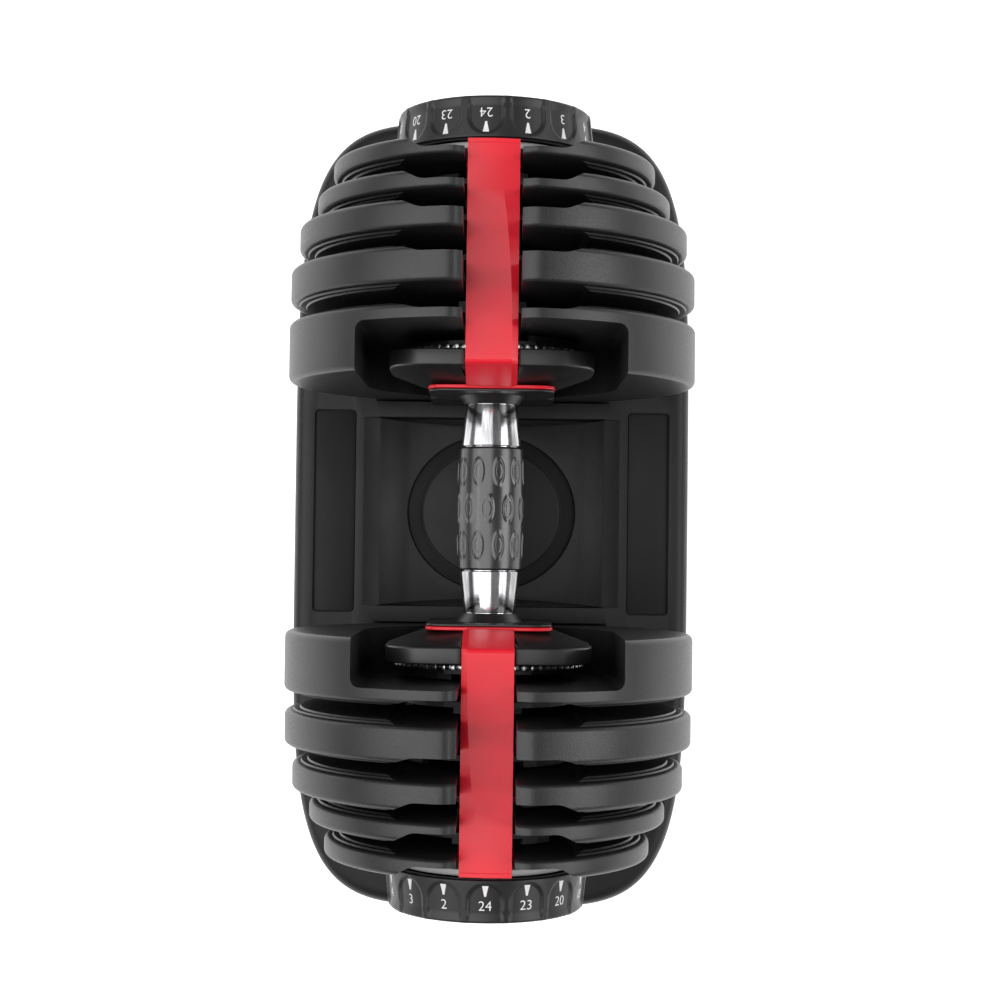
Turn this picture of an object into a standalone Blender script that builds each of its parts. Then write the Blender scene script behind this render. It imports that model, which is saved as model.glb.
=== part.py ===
"""Adjustable dial dumbbell standing in its storage tray.

Frame: metres, +Z up, the handle along Y, the origin on the floor under the
middle of the tray.  Both ends of the dumbbell are the same: each end is made
once, with Y counted outward from the middle and Z from the handle axis, and
placed under an empty on that axis.  The near end (-Y) is turned half a turn
about Z.  Clock angles are seen from outside the end, clockwise from the top.
"""
import math

import bmesh
import bpy
from mathutils import Matrix

# ------------------------------------------------------------ driving sizes
GAP = 0.0003                    # between two pieces that touch
AXIS_Z = 0.120                  # handle axis above the floor
TRAY_HALF_X = 0.106
TRAY_HALF_Y = 0.2106
TRAY_POWER = 4.8                # superellipse of the tray's outline
DECK_Z = 0.042                  # top of the tray
FOOT_SPOTS = [(x, y) for x in (-0.066, 0.066) for y in (-0.172, 0.172)]
FOOT_R = 0.011
FOOT_TOP = 0.003
CAVITY_TOP = 0.0175
CAVITY_WALL = 0.005
TROUGH_Z = 0.029
TROUGH_FLAT = 0.044
TROUGH_HALF = 0.068
TROUGH_END = 0.0500
PANEL_X = (0.0725, 0.0940)
PANEL_END = 0.0535
PANEL_DEPTH = 0.0025
BADGE_R = 0.037
GROOVE_R = 0.043
GROOVE_Z = 0.0262
BAY_PLAY = 0.001                # round a plate's rim and beside its faces
SETTINGS = 15                   # positions of each dial
STEP = 360.0 / SETTINGS         # degrees from one setting to the next

# Plates from the handle outward: inner face, outer face, radius, depth of the
# outer channel, and the dial positions (0 lightest, 14 heaviest) that lift it.
PLATES = (
    (0.0594, 0.0878, 0.0985, 0.0026, (8, 9, 10, 11, 12, 13, 14)),
    (0.0970, 0.1134, 0.0980, 0.0032, (6, 7, 11, 12, 13, 14)),
    (0.1217, 0.1346, 0.0941, 0.0043, (2, 3, 4, 5, 9, 10, 12, 13, 14)),
    (0.1405, 0.1498, 0.0857, 0.0047, (4, 5, 10, 13, 14)),
    (0.1574, 0.1665, 0.0783, 0.0052, (1, 3, 5, 7, 14)),
)
SLOT_HALF = 0.0132              # half-width of the slot that clears the strap
CHANNEL_HALF = 0.043            # half-width of the channel of a selector disc
SKIM = 0.0002                   # what the inner channel takes off the face
BOSS_STEP = 0.0016              # raised inner face outside the channel
BOSS_INSET = 0.005
RIM_CHAMFER = 0.0015
POCKET_HALF = 0.061             # pocket of the first plate
POCKET_FLOOR = 0.0814
NOTCH_HALF = 0.009              # notch of the first plate, for the post
NOTCH_END = 0.070

# Hook tab of each plate and the flange that lifts it
TAB_HALF = 0.0065
TAB_TOP_R = 0.030
TAB_LOW_R = 0.036
TAB_PROUD = 0.003
DISC_R = 0.041
FLANGE_IN_R = 0.037
FLANGE_OUT_R = 0.0405
FLANGE_END = 0.0008             # from the flange to the plate's face
WEB_OUTER = 0.0036              # from the plate's face to the web
WEB_THICK = 0.0026
SECTOR_RELIEF = 1.0             # degrees left free at each end of a flange

HUB_R = 0.011
HUB_BORE_R = 0.0074
HUB_Y = (0.0584, 0.1840)
ROD_R = 0.007
ROD_END = 0.1855
ROD_BORE_R = 0.0034
ROD_BORE_Y = 0.1740

GRIP_END = 0.0298
GRIP_R_END = 0.01535
GRIP_R_MID = 0.01655
GRIP_BORE_R = 0.0136
TUBE_R_GRIP = 0.0133
TUBE_R_IN = 0.0146              # chrome cone beside the grip
TUBE_R_OUT = 0.01245            # chrome cone beside the collar
TUBE_END_R = TUBE_R_OUT - 0.0005
TUBE_BORE_R = 0.0073
COLLAR_Y = (0.0503, 0.0560)
COLLAR_R = (0.0130, 0.0158)      # cone, small end towards the grip
COLLAR_DISC_Y = 0.0548
COLLAR_DISC_R = 0.0296

STRAP_HALF = 0.012
STRAP_TOP = 0.062
STRAP_LOW = 0.053
STRAP_END = 0.1679
FLANGE_DISC_R = 0.0305
FLANGE_DISC_Y = (0.0563, 0.0580)
LEG_Y = (0.1645, 0.1669)
LEG_HALF = 0.0118
LEG_RING_R = 0.019
END_PLATE_Y = (0.1673, 0.1705)
END_PLATE_R = 0.044
END_SCREW_Z = 0.030
END_SCREW_SEAT = 0.1687

HOUSING_Y = (0.0583, 0.0657, 0.0728)
HOUSING_NOSE_R = 0.031
HOUSING_R = 0.052
HOUSING_WALL = 0.0025
WHEEL_Y = (0.0736, 0.0756)
WHEEL_R = 0.046
TEETH = 60                      # of the index wheel, four for each setting
TOOTH_ROOT_R = 0.0418
GAP_ROOT_HALF = 1.4             # degrees, half of the gap between two teeth
GAP_TIP_HALF = 1.8
DETENT_R = 0.0385               # ring of detent holes, one for each setting
DETENT_HOLE_R = 0.0016

LOCK_Y = (0.0672, 0.0702)
LOCK_TOP = 0.0485
PIN_END = 0.0759                # pins of the lock, which drop between the teeth
PIN_Z = (0.0466, 0.0484)
PIN_HALF = 0.0006
PIN_SPACING = 0.00465
LOCK_FOOT = 0.053
SPRING_X = 0.011                # lock spring, beside the yoke's upper bar
SPRING_Y = 0.0696
SPRING_LENGTH = 0.0242
SPRING_R = (0.0014, 0.0025)     # inside and outside of its coils
POST_HALF = 0.006
POST_Y = (0.0620, 0.0670)
BLOCK_HALF = 0.0315
BLOCK_Y = (0.0566, 0.0589)
BLOCK_TOP = 0.0860
ARM_Z = (0.0460, 0.0540)

DIAL_Y = (0.1710, 0.1915)
DIAL_R = (0.0483, 0.0457)
DIAL_WALL = 0.0030
DIAL_EDGE = (0.0025, 0.0022)    # chamfer of the outer edge, along and across
DIAL_BOSS_R = 0.0145
DIAL_BACK = ((0.1865, DIAL_BOSS_R), (0.1875, 0.0415))
DIAL_RECESS = (0.1880, 0.0093)  # screw's recess, floor and radius
DIAL_SCREW_HEAD = 0.0026
SCREW_R = 0.0030
END_SCREW_R = (0.0019, 0.0036)  # shank and head

# Number of straight sides of the round pieces
FINE = 36
MEDIUM = 30
COARSE = 20

COLOURS = {                     # base colour, roughness, metallic
    "plate": ((0.045, 0.045, 0.047), 0.55, 0.0),
    "tray": ((0.022, 0.022, 0.024), 0.50, 0.0),
    "panel": ((0.012, 0.012, 0.013), 0.25, 0.0),
    "badge": ((0.018, 0.018, 0.020), 0.30, 0.0),
    "chrome": ((0.80, 0.80, 0.82), 0.08, 1.0),
    "steel": ((0.55, 0.55, 0.56), 0.30, 1.0),
    "rubber": ((0.015, 0.015, 0.016), 0.35, 0.0),
    "red": ((0.75, 0.045, 0.055), 0.40, 0.0),
    "black": ((0.020, 0.020, 0.022), 0.40, 0.0),
    "grey": ((0.30, 0.30, 0.31), 0.45, 0.0),
    "dial": ((0.030, 0.030, 0.033), 0.38, 0.0),
}
SMOOTH_ANGLE = math.radians(35)


# ------------------------------------------------------------------ tools
def clear_scene():
    """Remove every object of the scene."""
    for thing in list(bpy.data.objects):
        bpy.data.objects.remove(thing, do_unlink=True)


def material(name):
    """Make or fetch the Principled material of one finish."""
    if name in bpy.data.materials:
        return bpy.data.materials[name]
    colour, roughness, metallic = COLOURS[name]
    made = bpy.data.materials.new(name)
    made.use_nodes = True
    shader = made.node_tree.nodes["Principled BSDF"]
    shader.inputs["Base Color"].default_value = (*colour, 1.0)
    shader.inputs["Roughness"].default_value = roughness
    shader.inputs["Metallic"].default_value = metallic
    return made


def to_mesh(shape, name):
    """Turn a bmesh into a mesh with its faces pointing out."""
    bmesh.ops.recalc_face_normals(shape, faces=shape.faces)
    mesh = bpy.data.meshes.new(name)
    shape.to_mesh(mesh)
    shape.free()
    return mesh


def combine(mesh, others, operation):
    """Boolean a mesh with a list of others, one after another."""
    for other in others:
        base = bpy.data.objects.new("base", mesh)
        tool = bpy.data.objects.new("tool", other)
        bpy.context.scene.collection.objects.link(base)
        bpy.context.scene.collection.objects.link(tool)
        boolean = base.modifiers.new("boolean", "BOOLEAN")
        boolean.operation = operation
        boolean.solver = "EXACT"
        boolean.object = tool
        graph = bpy.context.evaluated_depsgraph_get()
        result = bpy.data.meshes.new_from_object(base.evaluated_get(graph))
        bpy.data.objects.remove(base, do_unlink=True)
        bpy.data.objects.remove(tool, do_unlink=True)
        mesh = result
    return mesh


def place(name, mesh, finish, parent=None):
    """Put a mesh in the scene as one named piece."""
    mesh.materials.clear()
    mesh.materials.append(material(finish))
    mesh.shade_smooth()
    mesh.set_sharp_from_angle(angle=SMOOTH_ANGLE)
    piece = bpy.data.objects.new(name, mesh)
    bpy.context.scene.collection.objects.link(piece)
    piece.parent = parent
    return piece


def turned(profile, sides, loop=False):
    """Turn (y, r) points about Y; points at r = 0 close the solid."""
    shape = bmesh.new()
    rings = []
    for y, r in profile:
        if r == 0:
            rings.append([shape.verts.new((0, y, 0))] * sides)
            continue
        angles = [2 * math.pi * i / sides for i in range(sides)]
        rings.append([shape.verts.new((r * math.sin(a), y, r * math.cos(a))) for a in angles])
    pairs = list(zip(rings, rings[1:]))
    if loop:
        pairs.append((rings[-1], rings[0]))
    for first, second in pairs:
        for i in range(sides):
            j = (i + 1) % sides
            corners = dict.fromkeys((first[i], first[j], second[j], second[i]))
            shape.faces.new(corners)
    return to_mesh(shape, "turned")


def prism(outline, start, end, axis="Y"):
    """Extrude an outline of (x, z) points along Y, or of (x, y) along Z."""
    shape = bmesh.new()
    if axis == "Y":
        points = [(u, start, v) for u, v in outline]
        travel = (0, end - start, 0)
    else:
        points = [(u, v, start) for u, v in outline]
        travel = (0, 0, end - start)
    face = shape.faces.new([shape.verts.new(p) for p in points])
    grown = bmesh.ops.extrude_face_region(shape, geom=[face])
    moved = [g for g in grown["geom"] if isinstance(g, bmesh.types.BMVert)]
    bmesh.ops.translate(shape, verts=moved, vec=travel)
    return to_mesh(shape, "prism")


def block(x, y, z):
    """A box from pairs of limits."""
    return prism([(x[0], z[0]), (x[1], z[0]), (x[1], z[1]), (x[0], z[1])], y[0], y[1])


def arc(radius, start, end, count):
    """Points (x, z) on a clock-angle arc, ends included."""
    points = []
    for i in range(count):
        angle = math.radians(start + (end - start) * i / (count - 1))
        points.append((-radius * math.sin(angle), radius * math.cos(angle)))
    return points


def circle(radius, sides, centre=(0, 0)):
    """Points of a closed circle."""
    angles = [2 * math.pi * i / sides for i in range(sides)]
    return [(centre[0] + radius * math.sin(a), centre[1] + radius * math.cos(a)) for a in angles]


def u_shape(half_width, top):
    """A slot open at the top, with a round end about the axis."""
    return [(half_width, top)] + arc(half_width, 270, 90, 13) + [(-half_width, top)]


def ring_sector(inner, outer, start, end, step=8.0):
    """Outline of part of a ring between two clock angles."""
    count = max(2, round(abs(end - start) / step) + 1)
    return arc(outer, start, end, count) + arc(inner, end, start, count)


def tube(y, inner, outer, sides):
    """A plain sleeve."""
    return turned([(y[0], inner), (y[0], outer), (y[1], outer), (y[1], inner)], sides, loop=True)


def rod(y, radius, sides):
    """A plain solid bar."""
    return turned([(y[0], 0), (y[0], radius), (y[1], radius), (y[1], 0)], sides)


# ---------------------------------------------------------------- the tray
def superellipse(half_x, half_y, count=64):
    """Outline (x, y) of the tray at one height."""
    points = []
    for i in range(count):
        angle = 2 * math.pi * i / count
        c, s = math.cos(angle), math.sin(angle)
        x = math.copysign(abs(c) ** (2 / TRAY_POWER), c)
        y = math.copysign(abs(s) ** (2 / TRAY_POWER), s)
        points.append((half_x * x, half_y * y))
    return points


def tray_shell():
    """The outside of the tray, stacked from superellipses."""
    levels = (
        (FOOT_TOP, 0.006), (0.008, 0.0015), (0.016, 0), (0.026, 0),
        (0.036, 0.0015), (0.0405, 0.004), (DECK_Z, 0.008),
    )
    shape = bmesh.new()
    rings = []
    for z, inset in levels:
        outline = superellipse(TRAY_HALF_X - inset, TRAY_HALF_Y - inset)
        rings.append([shape.verts.new((x, y, z)) for x, y in outline])
    for low, high in zip(rings, rings[1:]):
        for i in range(len(low)):
            j = (i + 1) % len(low)
            shape.faces.new((low[i], low[j], high[j], high[i]))
    shape.faces.new(rings[0])
    shape.faces.new(rings[-1])
    return to_mesh(shape, "tray")


def tray_cavity():
    """The hollow underneath, which leaves a pad over each foot."""
    outline = superellipse(TRAY_HALF_X - CAVITY_WALL, TRAY_HALF_Y - CAVITY_WALL)
    hollow = prism(outline, -0.002, CAVITY_TOP, axis="Z")
    pads = [prism(circle(FOOT_R + 0.002, 12, spot), -0.004, 0.022, axis="Z") for spot in FOOT_SPOTS]
    return combine(hollow, pads, "DIFFERENCE")


def bay_cutter():
    """One turned cutter for the five cradles of an end, about the handle axis."""
    clear_r = 0.060
    profile = [(PLATES[0][0] - BAY_PLAY, 0)]
    for index, (inner, outer, radius, *_) in enumerate(PLATES):
        start = inner - BAY_PLAY
        if index:
            start -= BOSS_STEP
        end = outer + BAY_PLAY
        if index:
            profile.append((start, clear_r))
        profile.append((start, radius + BAY_PLAY))
        profile.append((end, radius + BAY_PLAY))
        if index < len(PLATES) - 1:
            profile.append((end, clear_r))
    profile.append((PLATES[-1][1] + BAY_PLAY, 0))
    return turned(profile, 2 * FINE)


def trough_cutter():
    """The hand space under the grip: flat in the middle, easing up at the sides."""
    rise = DECK_Z - TROUGH_Z + 0.001
    count = 6
    side = []
    for i in range(count + 1):
        t = i / count
        x = TROUGH_FLAT + (TROUGH_HALF - TROUGH_FLAT) * t
        side.append((x, TROUGH_Z + rise * (1 - math.cos(math.pi * t)) / 2))
    top = DECK_Z + 0.010
    outline = side + [(TROUGH_HALF, top), (-TROUGH_HALF, top)] + [(-x, z) for x, z in reversed(side)]
    return prism(outline, -TROUGH_END, TROUGH_END)


def panel_outline(sign, grow):
    """Rounded rectangle of a side panel, or of its recess."""
    corner = 0.003
    low_x, high_x = PANEL_X[0] - grow, PANEL_X[1] + grow
    end = PANEL_END + grow
    points = []
    for cx, cy, start in (
        (high_x - corner, end - corner, 0), (low_x + corner, end - corner, 90),
        (low_x + corner, -end + corner, 180), (high_x - corner, -end + corner, 270),
    ):
        for i in range(4):
            angle = math.radians(start + 30 * i)
            points.append((sign * (cx + corner * math.cos(angle)), cy + corner * math.sin(angle)))
    return points


def make_tray():
    """The tray, its feet, panels and round badge."""
    shell = tray_shell()
    cutters = [tray_cavity(), trough_cutter()]
    for turn in (0, math.pi):
        bays = bay_cutter()
        for vertex in bays.vertices:
            x, y, z = vertex.co
            vertex.co = (x * math.cos(turn), y * math.cos(turn), z + AXIS_Z)
        cutters.append(bays)
    for sign in (-1, 1):
        cutters.append(prism(panel_outline(sign, GAP), DECK_Z - PANEL_DEPTH, DECK_Z + 0.01, axis="Z"))
    cutters.append(prism(circle(GROOVE_R, MEDIUM), GROOVE_Z, TROUGH_Z + 0.005, axis="Z"))
    place("tray", combine(shell, cutters, "DIFFERENCE"), "tray")

    for number, spot in enumerate(FOOT_SPOTS, 1):
        foot = prism(circle(FOOT_R, 16), 0, FOOT_TOP - GAP, axis="Z")
        piece = place(f"foot_{number}", foot, "rubber")
        piece.location = (*spot, 0)

    for side, sign in (("left", -1), ("right", 1)):
        low = DECK_Z - PANEL_DEPTH + GAP
        panel = prism(panel_outline(sign, 0), low, DECK_Z - 0.0004, axis="Z")
        place(f"side_panel_{side}", panel, "panel")

    badge = prism(circle(BADGE_R, MEDIUM), GROOVE_Z + GAP, TROUGH_Z, axis="Z")
    place("tray_badge", badge, "badge")


def make_release_post(parent, end):
    """Wall in front of the first plate, and the post behind it for the lock."""
    deck = DECK_Z + GAP - AXIS_Z
    wall = block((-BLOCK_HALF, BLOCK_HALF), BLOCK_Y, (deck, BLOCK_TOP - AXIS_Z))
    arm_z = (ARM_Z[0] - AXIS_Z, ARM_Z[1] - AXIS_Z)
    arm = block((-POST_HALF, POST_HALF), (BLOCK_Y[1] - 0.001, POST_Y[1]), arm_z)
    narrow = POST_HALF - SKIM
    post_z = (arm_z[0] + 0.002, -LOCK_FOOT - GAP)
    post = block((-narrow, narrow), (POST_Y[0], POST_Y[1] - SKIM), post_z)
    place(f"release_post_{end}", combine(wall, [arm, post], "UNION"), "tray", parent)


# -------------------------------------------------------------- the handle
def make_handle():
    """Tube, grip and the rod through both ends."""
    half = [(GRIP_END + GAP, TUBE_R_GRIP), (GRIP_END + GAP, TUBE_R_IN), (COLLAR_Y[0], TUBE_R_OUT)]
    half += [(COLLAR_Y[0], TUBE_END_R), (COLLAR_Y[1], TUBE_END_R), (COLLAR_Y[1], TUBE_BORE_R)]
    outer = [(-y, r) for y, r in reversed(half)] + half
    place("handle_tube", turned(outer, MEDIUM, loop=True), "chrome", AXIS)

    steps = 4
    profile = []
    for i in range(steps + 1):
        t = 2 * i / steps - 1
        profile.append((GRIP_END * t, GRIP_R_END + (GRIP_R_MID - GRIP_R_END) * (1 - t * t)))
    profile += [(GRIP_END, GRIP_BORE_R), (-GRIP_END, GRIP_BORE_R)]
    place("handle_grip", turned(profile, MEDIUM, loop=True), "rubber", AXIS)

    half = [(ROD_BORE_Y, 0), (ROD_BORE_Y, ROD_BORE_R), (ROD_END, ROD_BORE_R), (ROD_END, ROD_R)]
    bar = [(-y, r) for y, r in half] + [(y, r) for y, r in reversed(half)]
    place("centre_rod", turned(bar, COARSE), "steel", AXIS)


def make_bracket(parent, end):
    """Red bracket: flange disc, sloping leg, strap and outer leg."""
    lip = 0.0002
    inner, outer = FLANGE_DISC_Y[0] + lip, FLANGE_DISC_Y[1] - lip
    side = [
        (inner, 0.020), (inner, 0.033), (0.0646, STRAP_TOP - 0.001), (0.0660, STRAP_TOP),
        (STRAP_END, STRAP_TOP), (STRAP_END, STRAP_LOW), (0.0660, STRAP_LOW),
        (0.0651, 0.0524), (0.0577, 0.0312), (outer, 0.020),
    ]
    shape = bmesh.new()
    face = shape.faces.new([shape.verts.new((-STRAP_HALF, y, z)) for y, z in side])
    grown = bmesh.ops.extrude_face_region(shape, geom=[face])
    moved = [g for g in grown["geom"] if isinstance(g, bmesh.types.BMVert)]
    bmesh.ops.translate(shape, verts=moved, vec=(2 * STRAP_HALF, 0, 0))
    strap = to_mesh(shape, "strap")

    disc = tube(FLANGE_DISC_Y, TUBE_BORE_R, FLANGE_DISC_R, MEDIUM)
    turn = math.degrees(math.asin(LEG_HALF / LEG_RING_R))
    keyhole = arc(LEG_RING_R, turn, 360 - turn, 15)
    keyhole += [(LEG_HALF, STRAP_LOW + 0.004), (-LEG_HALF, STRAP_LOW + 0.004)]
    leg = prism(keyhole, *LEG_Y)
    bored = combine(leg, [rod((0.160, 0.170), HUB_R + 0.0006, COARSE), end_screw_hole()], "DIFFERENCE")
    place(f"bracket_{end}", combine(strap, [disc, bored], "UNION"), "red", parent)


def end_screw_hole():
    """Stepped hole for the screw that holds the end plate to the outer leg."""
    start, stop = LEG_Y[0] - 0.002, END_PLATE_Y[1] + 0.001
    profile = [(start, 0), (start, 0.0023), (END_SCREW_SEAT, 0.0023)]
    profile += [(END_SCREW_SEAT, 0.0040), (stop, 0.0040), (stop, 0)]
    hole = turned(profile, 12)
    hole.transform(Matrix.Translation((0, 0, END_SCREW_Z)))
    return hole


def make_collar(parent, end):
    """Black collar between the chrome and the bracket: a cone on a thin disc."""
    bore = TUBE_R_OUT - 0.0005 + GAP
    start = COLLAR_Y[0] + GAP
    profile = [(start, bore), (start, COLLAR_R[0]), (COLLAR_DISC_Y, COLLAR_R[1])]
    profile += [(COLLAR_DISC_Y, COLLAR_DISC_R), (COLLAR_Y[1], COLLAR_DISC_R), (COLLAR_Y[1], bore)]
    place(f"collar_{end}", turned(profile, MEDIUM, loop=True), "black", parent)


def make_housing(parent, end):
    """Domed cover of the index wheel and the lock."""
    nose, shoulder, rim = HOUSING_Y
    bore = HUB_R + 0.0006
    profile = [
        (nose, bore), (nose, HOUSING_NOSE_R), (shoulder, HOUSING_R), (rim, HOUSING_R),
        (rim, HOUSING_R - HOUSING_WALL), (shoulder + 0.0012, HOUSING_R - HOUSING_WALL),
        (nose + HOUSING_WALL, HOUSING_NOSE_R), (nose + HOUSING_WALL, bore),
    ]
    cup = turned(profile, FINE, loop=True)
    gate = block((-0.0075, 0.0075), (LOCK_Y[0] - 0.0006, rim + 0.002), (-0.060, -0.044))
    place(f"index_housing_{end}", combine(cup, [gate], "DIFFERENCE"), "black", parent)


def make_lock(parent, end):
    """Sliding lock: a yoke round the hub, three pins above, a foot below."""
    yoke_half, bar_half, head_half = 0.017, 0.005, 0.0056
    yoke_z, head_z = 0.022, 0.0462
    right = [
        (bar_half, -LOCK_FOOT), (bar_half, -yoke_z), (yoke_half, -yoke_z), (yoke_half, yoke_z),
        (bar_half, yoke_z), (bar_half, head_z), (head_half, head_z), (head_half, LOCK_TOP),
    ]
    outline = right + [(-x, z) for x, z in reversed(right)]
    window = block((-0.0126, 0.0126), (LOCK_Y[0] - 0.001, LOCK_Y[1] + 0.001), (-0.013, 0.018))
    plate = combine(prism(outline, *LOCK_Y), [window], "DIFFERENCE")
    pins = []
    for x in (-PIN_SPACING, 0, PIN_SPACING):
        pins.append(block((x - PIN_HALF, x + PIN_HALF), (LOCK_Y[1] - 0.001, PIN_END), PIN_Z))
    place(f"lock_slider_{end}", combine(plate, pins, "UNION"), "steel", parent)

    section = [(0, SPRING_R[0]), (0, SPRING_R[1]), (SPRING_LENGTH, SPRING_R[1]), (SPRING_LENGTH, SPRING_R[0])]
    coil = turned(section, 12, loop=True)
    piece = place(f"lock_spring_{end}", coil, "steel", parent)
    piece.location = (SPRING_X, SPRING_Y, yoke_z + GAP)
    piece.rotation_euler = (math.pi / 2, 0, 0)


def make_detent(parent, end):
    """Leaf spring on the housing, its nose over the wheel's ring of holes."""
    angle = 4 * STEP
    leaf_y = (WHEEL_Y[0] - 0.0014, WHEEL_Y[0] - 0.0008)
    leaf = prism(ring_sector(DETENT_R - 0.0018, DETENT_R + 0.0018, angle - 24, angle + 3), *leaf_y)
    sector = ring_sector(DETENT_R - 0.0017, HOUSING_R - HOUSING_WALL - GAP, angle - 23.5, angle - 17.5)
    foot = prism(sector, LOCK_Y[0], leaf_y[1] - 0.0001)
    centre = arc(DETENT_R, angle, angle + 1, 2)[0]
    nose = prism(circle(0.0012, 8, centre), leaf_y[0] + 0.0001, WHEEL_Y[0] - GAP)
    place(f"detent_spring_{end}", combine(leaf, [foot, nose], "UNION"), "steel", parent)


def make_wheel(parent, end):
    """Toothed steel wheel with a detent hole for each setting."""
    outline = []
    for i in range(TEETH):
        centre = i * 360 / TEETH
        beyond = centre + 360 / TEETH
        outline += arc(TOOTH_ROOT_R, centre - GAP_ROOT_HALF, centre + GAP_ROOT_HALF, 2)
        outline += arc(WHEEL_R, centre + GAP_TIP_HALF, beyond - GAP_TIP_HALF, 2)
    past = (WHEEL_Y[0] - 0.001, WHEEL_Y[1] + 0.001)
    cuts = [rod(past, HUB_R + GAP, COARSE)]
    for i in range(SETTINGS):
        centre = arc(DETENT_R, i * STEP, i * STEP + 1, 2)[0]
        cuts.append(prism(circle(DETENT_HOLE_R, 6, centre), *past))
    place(f"index_wheel_{end}", combine(prism(outline, *WHEEL_Y), cuts, "DIFFERENCE"), "steel", parent)


def make_hub(parent, end):
    """Tube that carries the wheel, the discs and the dial."""
    place(f"selector_hub_{end}", tube(HUB_Y, HUB_BORE_R, HUB_R, COARSE), "steel", parent)


def flange_runs(chosen):
    """Clock-angle runs of a disc's flange: setting i lifts when it is at the bottom."""
    runs = []
    for setting in sorted(chosen, reverse=True):
        middle = 180 + (SETTINGS - 1 - setting) * STEP
        if runs and abs(runs[-1][1] - (middle - STEP / 2)) < 1:
            runs[-1][1] = middle + STEP / 2
        else:
            runs.append([middle - STEP / 2, middle + STEP / 2])
    return runs


def make_disc(parent, end, number):
    """Selector disc: a web on the hub with a flange under the plate's tab."""
    if number == 0:
        face = POCKET_FLOOR
        web = (WHEEL_Y[1] + 0.0004, face - TAB_PROUD - 0.0005)
    else:
        face = PLATES[number][0]
        web = (face - WEB_OUTER - WEB_THICK, face - WEB_OUTER)
    disc = tube(web, HUB_R + GAP, DISC_R, 24)
    flanges = []
    for start, stop in flange_runs(PLATES[number][4]):
        sector = ring_sector(FLANGE_IN_R, FLANGE_OUT_R, start + SECTOR_RELIEF, stop - SECTOR_RELIEF, 11.0)
        flanges.append(prism(sector, web[1] - 0.0005, face - FLANGE_END))
    place(f"selector_disc_{number + 1}_{end}", combine(disc, flanges, "UNION"), "black", parent)


def make_dial(parent, end):
    """Dial with its hollow back, and the screw that keeps it on."""
    start, stop = DIAL_Y
    recess, recess_r = DIAL_RECESS
    floor = HUB_Y[1] + 0.0004
    bore = HUB_R + GAP
    profile = [
        (start, DIAL_R[0] - DIAL_WALL), (start, DIAL_R[0]), (stop - DIAL_EDGE[0], DIAL_R[1]),
        (stop, DIAL_R[1] - DIAL_EDGE[1]), (stop, recess_r), (recess, recess_r), (recess, HUB_BORE_R),
        (floor, HUB_BORE_R), (floor, bore), (start, bore), (start, DIAL_BOSS_R), *DIAL_BACK,
    ]
    place(f"dial_{end}", turned(profile, FINE, loop=True), "dial", parent)

    head = (recess + GAP, recess + DIAL_SCREW_HEAD)
    screw = [(ROD_BORE_Y + 0.001, 0), (ROD_BORE_Y + 0.001, SCREW_R), (head[0], SCREW_R)]
    screw += [(head[0], recess_r - GAP), (head[1], recess_r - GAP), (head[1], 0)]
    place(f"dial_screw_{end}", turned(screw, COARSE), "steel", parent)


def make_end_plate(parent, end):
    """Grey plate behind the dial, with its screw into the bracket."""
    disc = tube(END_PLATE_Y, HUB_R + 0.0006, END_PLATE_R, MEDIUM)
    place(f"end_plate_{end}", combine(disc, [end_screw_hole()], "DIFFERENCE"), "grey", parent)

    seat = END_SCREW_SEAT + GAP
    shank_r, head_r = END_SCREW_R
    screw = [(LEG_Y[0] + GAP, 0), (LEG_Y[0] + GAP, shank_r), (seat, shank_r)]
    screw += [(seat, head_r), (END_PLATE_Y[1] - 0.0002, head_r), (END_PLATE_Y[1] - 0.0002, 0)]
    piece = place(f"end_plate_screw_{end}", turned(screw, 12), "steel", parent)
    piece.location = (0, 0, END_SCREW_Z)


# -------------------------------------------------------------- the plates
def make_plate(parent, end, number):
    """One weight plate: slot, disc channels, hook tab, and the first one's pocket."""
    inner, outer, radius, depth, _ = PLATES[number]
    profile = [(outer, 0), (outer, radius - RIM_CHAMFER), (outer - RIM_CHAMFER, radius)]
    profile += [(inner + RIM_CHAMFER, radius), (inner, radius - RIM_CHAMFER)]
    tab_face = inner
    if number == 0:
        profile.append((inner, 0))
        tab_face = POCKET_FLOOR
    else:
        boss_r = radius - BOSS_INSET
        profile += [(inner, boss_r), (inner - BOSS_STEP, boss_r), (inner - BOSS_STEP, 0)]
    body = turned(profile[::-1], FINE)

    top = radius + 0.01
    cuts = [
        prism(u_shape(SLOT_HALF, top), inner - 0.005, outer + 0.005),
        prism(u_shape(CHANNEL_HALF, top), outer - depth, outer + 0.005),
    ]
    if number == 0:
        cuts.append(prism(u_shape(POCKET_HALF, top), inner - 0.005, POCKET_FLOOR))
        notch = block((-NOTCH_HALF, NOTCH_HALF), (inner - 0.005, NOTCH_END), (-top, -POCKET_HALF + 0.002))
        cuts.append(notch)
    else:
        cuts.append(prism(u_shape(CHANNEL_HALF, top), inner - 0.005, inner + SKIM))
    tab = block((-TAB_HALF, TAB_HALF), (tab_face - TAB_PROUD, tab_face + 0.001), (-TAB_LOW_R, -TAB_TOP_R))
    plate = combine(combine(body, cuts, "DIFFERENCE"), [tab], "UNION")
    place(f"plate_{number + 1}_{end}", plate, "plate", parent)


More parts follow.
